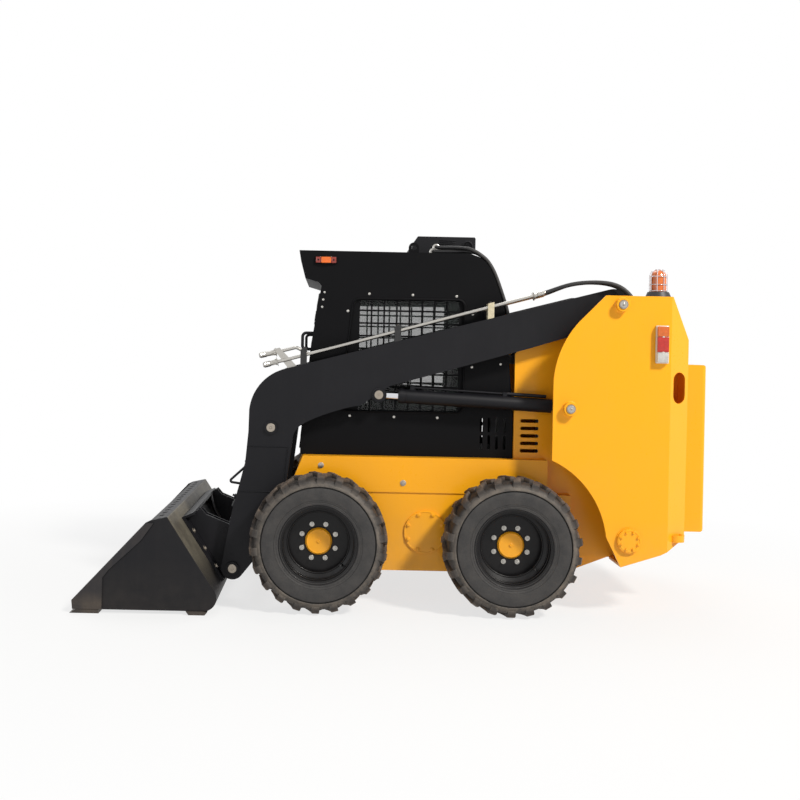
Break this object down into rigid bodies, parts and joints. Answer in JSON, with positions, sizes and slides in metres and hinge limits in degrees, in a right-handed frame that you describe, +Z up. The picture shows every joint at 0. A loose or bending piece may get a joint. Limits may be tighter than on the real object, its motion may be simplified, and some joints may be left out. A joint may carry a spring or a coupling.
{
  "type": "skid steer loader",
  "caption": "Compact wheeled loader with a roofed cab between twin towers, side lift arms, hydraulic cylinders and a wide dirt bucket.",
  "frame": {"origin": "centre of the overall box, on the ground under the tyres", "axes": "+X towards the bucket, +Y towards the operator's left, +Z up"},
  "size_m": [3.6, 1.78, 2.155],
  "materials": {
    "yellow_paint": "semi-gloss",
    "black_paint": "satin",
    "worn_edge": "worn satin",
    "pin_steel": "dull",
    "engine_iron": "painted",
    "tyre": "dusty matte",
    "chrome_rod": "polished",
    "line_steel": "zinc plated",
    "clamp_plastic": "matte",
    "hose_rubber": "matte",
    "window_glass": "tinted",
    "seat_cover": "matte",
    "control_plastic": "matte",
    "amber_lens": "clear",
    "red_lens": "clear"
  },
  "bodies": {
    "chassis": {"main_frame": "yellow_paint", "fenders": "yellow_paint", "axle_tubes": "black_paint", "engine_block": "engine_iron", "tower_left": "yellow_paint", "tower_right": "yellow_paint", "tower_pins": "pin_steel", "rear_frame": "black_paint", "cab_sides": "black_paint", "cab_shell": "black_paint", "cab_posts": "black_paint", "cab_floor": "black_paint", "side_mesh": "black_paint", "side_glass": "window_glass", "rear_glass": "window_glass", "seat_base": "black_paint", "seat_cushions": "seat_cover", "controls": "control_plastic", "ac_unit": "black_paint", "ac_hoses": "hose_rubber", "marker_lamps": "red_lens", "grab_handles": "black_paint", "tail_lamps": "red_lens", "beacon_base": "control_plastic", "beacon_lens": "amber_lens"},
    "wheel_front_left": {"tyre_front_left": "tyre", "rim_front_left": "black_paint", "hub_front_left": "yellow_paint"},
    "wheel_front_right": {"tyre_front_right": "tyre", "rim_front_right": "black_paint", "hub_front_right": "yellow_paint"},
    "wheel_rear_left": {"tyre_rear_left": "tyre", "rim_rear_left": "black_paint", "hub_rear_left": "yellow_paint"},
    "wheel_rear_right": {"tyre_rear_right": "tyre", "rim_rear_right": "black_paint", "hub_rear_right": "yellow_paint"},
    "lift_arm": {"boom_left": "black_paint", "boom_right": "black_paint", "cross_tube": "black_paint", "tube_clamps": "clamp_plastic", "aux_tubes": "line_steel", "aux_couplers": "line_steel", "boom_hoses": "hose_rubber"},
    "bucket": {"coupler": "black_paint", "bucket_shell": "black_paint", "bucket_edges": "worn_edge"},
    "lift_barrel_left_body": {"lift_barrel_left": "black_paint"},
    "lift_rod_left_body": {"lift_rod_left": "chrome_rod"},
    "tilt_barrel_left_body": {"tilt_barrel_left": "black_paint"},
    "tilt_rod_left_body": {"tilt_rod_left": "chrome_rod"},
    "lift_barrel_right_body": {"lift_barrel_right": "black_paint"},
    "lift_rod_right_body": {"lift_rod_right": "chrome_rod"},
    "tilt_barrel_right_body": {"tilt_barrel_right": "black_paint"},
    "tilt_rod_right_body": {"tilt_rod_right": "chrome_rod"},
    "cab_door": {"door_frame": "black_paint", "door_glass": "window_glass"},
    "hood_body": {"hood": "yellow_paint"},
    "rear_door_body": {"rear_door": "yellow_paint"}
  },
  "joints": [
    {"name": "wheel_front_left_spin", "type": "hinge", "parent": "chassis", "child": "wheel_front_left", "pos_m": [0.45, 0.72, 0.3875], "axis": [0, 1, 0], "continuous": true},
    {"name": "wheel_front_right_spin", "type": "hinge", "parent": "chassis", "child": "wheel_front_right", "pos_m": [0.45, -0.72, 0.3875], "axis": [0, 1, 0], "continuous": true},
    {"name": "wheel_rear_left_spin", "type": "hinge", "parent": "chassis", "child": "wheel_rear_left", "pos_m": [-0.63, 0.72, 0.3875], "axis": [0, 1, 0], "continuous": true},
    {"name": "wheel_rear_right_spin", "type": "hinge", "parent": "chassis", "child": "wheel_rear_right", "pos_m": [-0.63, -0.72, 0.3875], "axis": [0, 1, 0], "continuous": true},
    {"name": "arm_raise", "type": "hinge", "parent": "chassis", "child": "lift_arm", "pos_m": [-1.217, 0, 1.749], "axis": [0, -1, 0], "range_deg": [0, 63]},
    {"name": "bucket_tilt", "type": "hinge", "parent": "lift_arm", "child": "bucket", "pos_m": [0.943, 0, 0.198], "axis": [0, 1, 0], "range_deg": [-22, 95]},
    {"name": "lift_barrel_left_swing", "type": "hinge", "parent": "chassis", "child": "lift_barrel_left_body", "pos_m": [-0.937, 0.535, 1.162], "axis": [0, -1, 0], "range_deg": [0, 60]},
    {"name": "lift_rod_left_slide", "type": "slide", "parent": "lift_barrel_left_body", "child": "lift_rod_left_body", "axis": [0.9989, 0, 0.0462], "range_m": [0, 0.676]},
    {"name": "tilt_barrel_left_swing", "type": "hinge", "parent": "lift_arm", "child": "tilt_barrel_left_body", "pos_m": [0.739, 0.446, 1.01], "axis": [0, -1, 0], "range_deg": [-3, 2]},
    {"name": "tilt_rod_left_slide", "type": "slide", "parent": "tilt_barrel_left_body", "child": "tilt_rod_left_body", "axis": [0.3716, 0, -0.9284], "range_m": [-0.066, 0.283]},
    {"name": "lift_barrel_right_swing", "type": "hinge", "parent": "chassis", "child": "lift_barrel_right_body", "pos_m": [-0.937, -0.535, 1.162], "axis": [0, -1, 0], "range_deg": [0, 60]},
    {"name": "lift_rod_right_slide", "type": "slide", "parent": "lift_barrel_right_body", "child": "lift_rod_right_body", "axis": [0.9989, 0, 0.0462], "range_m": [0, 0.676]},
    {"name": "tilt_barrel_right_swing", "type": "hinge", "parent": "lift_arm", "child": "tilt_barrel_right_body", "pos_m": [0.739, -0.446, 1.01], "axis": [0, -1, 0], "range_deg": [-3, 2]},
    {"name": "tilt_rod_right_slide", "type": "slide", "parent": "tilt_barrel_right_body", "child": "tilt_rod_right_body", "axis": [0.3716, 0, -0.9284], "range_m": [-0.066, 0.283]},
    {"name": "door_swing", "type": "hinge", "parent": "chassis", "child": "cab_door", "pos_m": [0.52893, 0.398, 1.35248], "axis": [-0.1191, 0, 0.9929], "range_deg": [0, 80]},
    {"name": "hood_lift", "type": "hinge", "parent": "chassis", "child": "hood_body", "pos_m": [-0.735, 0, 1.5], "axis": [0, 1, 0], "range_deg": [0, 60]},
    {"name": "rear_door_swing", "type": "hinge", "parent": "chassis", "child": "rear_door_body", "pos_m": [-1.656, 0.47, 0.93], "axis": [0, 0, -1], "range_deg": [0, 95]}
  ],
  "couplings": [
    {"joint": "lift_barrel_left_swing", "follows": "arm_raise", "ratio": 0.94645},
    {"joint": "lift_rod_left_slide", "follows": "arm_raise", "m_per_rad": 0.6138},
    {"joint": "tilt_barrel_left_swing", "follows": "bucket_tilt", "ratio": 0.020803},
    {"joint": "tilt_rod_left_slide", "follows": "bucket_tilt", "m_per_rad": 0.16993},
    {"joint": "lift_barrel_right_swing", "follows": "arm_raise", "ratio": 0.94645},
    {"joint": "lift_rod_right_slide", "follows": "arm_raise", "m_per_rad": 0.6138},
    {"joint": "tilt_barrel_right_swing", "follows": "bucket_tilt", "ratio": 0.020803},
    {"joint": "tilt_rod_right_slide", "follows": "bucket_tilt", "m_per_rad": 0.16993}
  ]
}
